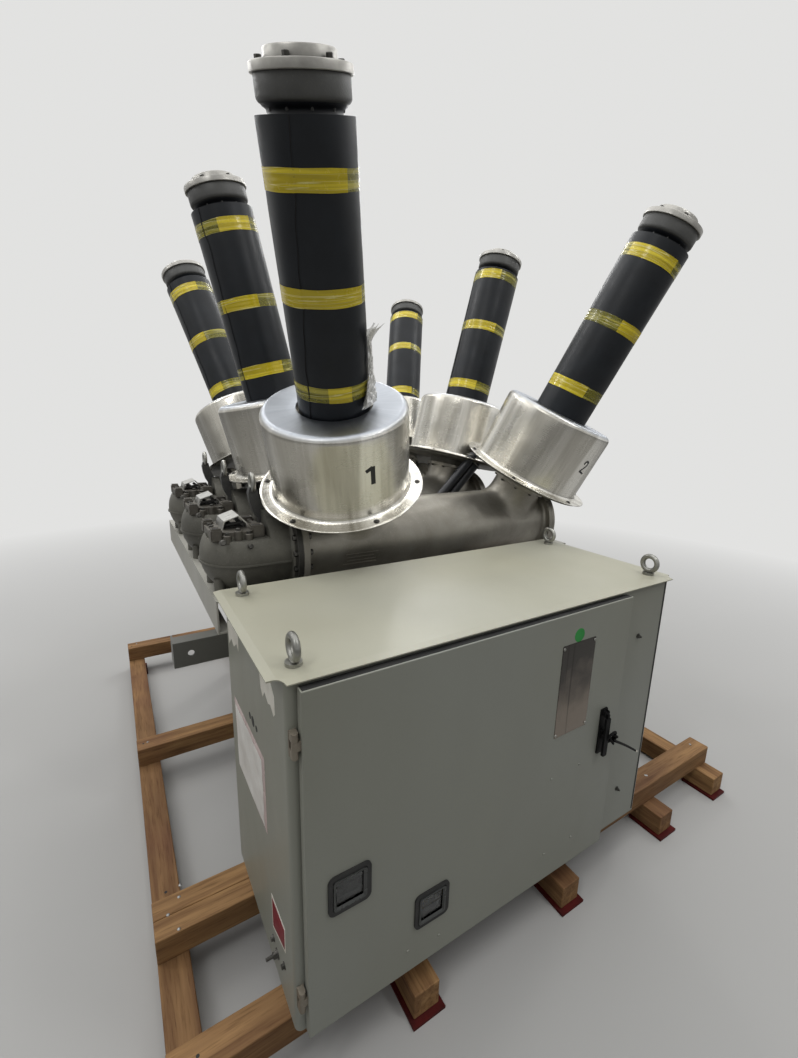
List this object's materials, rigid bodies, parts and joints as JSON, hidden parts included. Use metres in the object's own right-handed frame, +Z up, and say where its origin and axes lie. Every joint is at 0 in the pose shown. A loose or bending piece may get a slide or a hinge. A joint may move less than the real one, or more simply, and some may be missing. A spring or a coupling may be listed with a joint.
{
  "type": "dead-tank gas circuit breaker",
  "caption": "Three-pole dead-tank gas circuit breaker with paired wrapped bushings, drum current-transformer housings, a control cabinet with a hinged door, and a timber transport skid.",
  "frame": {"origin": "on the floor, at the middle of the skid's footprint", "axes": "+X along the cabinet's front and the tanks, from the drive housings to the end covers; +Y from the cabinet to the rear pole; +Z up"},
  "size_m": [2.4, 2.684, 2.7071],
  "materials": {
    "timber": "rough sawn",
    "pad_plastic": "dark red",
    "cabinet_paint": "satin grey green",
    "galvanised": "galvanised",
    "brass": "bright",
    "black_plastic": "satin black",
    "gasket": "matte",
    "glass": "clear",
    "stainless": "polished",
    "frame_paint": "grey",
    "casting": "sand cast",
    "aluminium": "spun",
    "stem": "black insulator",
    "cast_aluminium": "dull cast",
    "wrap_film": "black film",
    "conduit": "dark grey"
  },
  "bodies": {
    "frame": {"skid_runners": "timber", "skid_pads": "pad_plastic", "skid_cross_beams": "timber", "skid_posts": "timber", "cabinet_left_side": "cabinet_paint", "cabinet_right_side": "cabinet_paint", "cabinet_back": "cabinet_paint", "cabinet_floor": "cabinet_paint", "cabinet_rails": "cabinet_paint", "cabinet_roof": "cabinet_paint", "roof_eyes": "galvanised", "mount_panel": "galvanised", "floor_rail": "galvanised", "earth_bar": "brass", "cable_gland": "black_plastic", "hinge_leaves": "galvanised", "frame_side_beams": "frame_paint", "frame_inner_beams": "frame_paint", "drive_deck": "frame_paint", "frame_front_channel": "frame_paint", "frame_cross_channels": "frame_paint", "cabinet_ties": "frame_paint", "tank_1": "casting", "tank_2": "casting", "tank_3": "casting", "drive_housings": "casting", "cable_tray": "galvanised", "tank_feet": "frame_paint", "tank_end_covers": "casting", "drive_covers": "casting", "drive_hoods": "aluminium", "lifting_lugs": "galvanised", "ct_housings": "aluminium", "bushings": "stem", "ct_supports": "casting", "bushing_cups": "cast_aluminium", "bushing_caps": "aluminium", "bushing_wraps": "wrap_film", "conduits": "conduit"},
    "door": {"cabinet_door": "cabinet_paint", "window_frames": "gasket", "window_panes": "glass", "rating_plate": "stainless", "hinge_knuckles": "galvanised", "handle_base": "black_plastic"},
    "handle_hub": {"handle_hub": "black_plastic"},
    "handle_lever": {"handle_lever": "black_plastic"}
  },
  "joints": [
    {"name": "door_hinge", "type": "hinge", "parent": "frame", "child": "door", "pos_m": [-0.897, -1.297, 0.688], "axis": [0, 0, -1], "range_deg": [0, 115]},
    {"name": "handle_turn", "type": "hinge", "parent": "door", "child": "handle_hub", "pos_m": [0.178, -1.316, 0.7715], "axis": [0, 1, 0], "range_deg": [0, 90]},
    {"name": "handle_lift", "type": "hinge", "parent": "handle_hub", "child": "handle_lever", "pos_m": [0.178, -1.3231, 0.7715], "axis": [-1, 0, 0], "range_deg": [0, 45]}
  ]
}
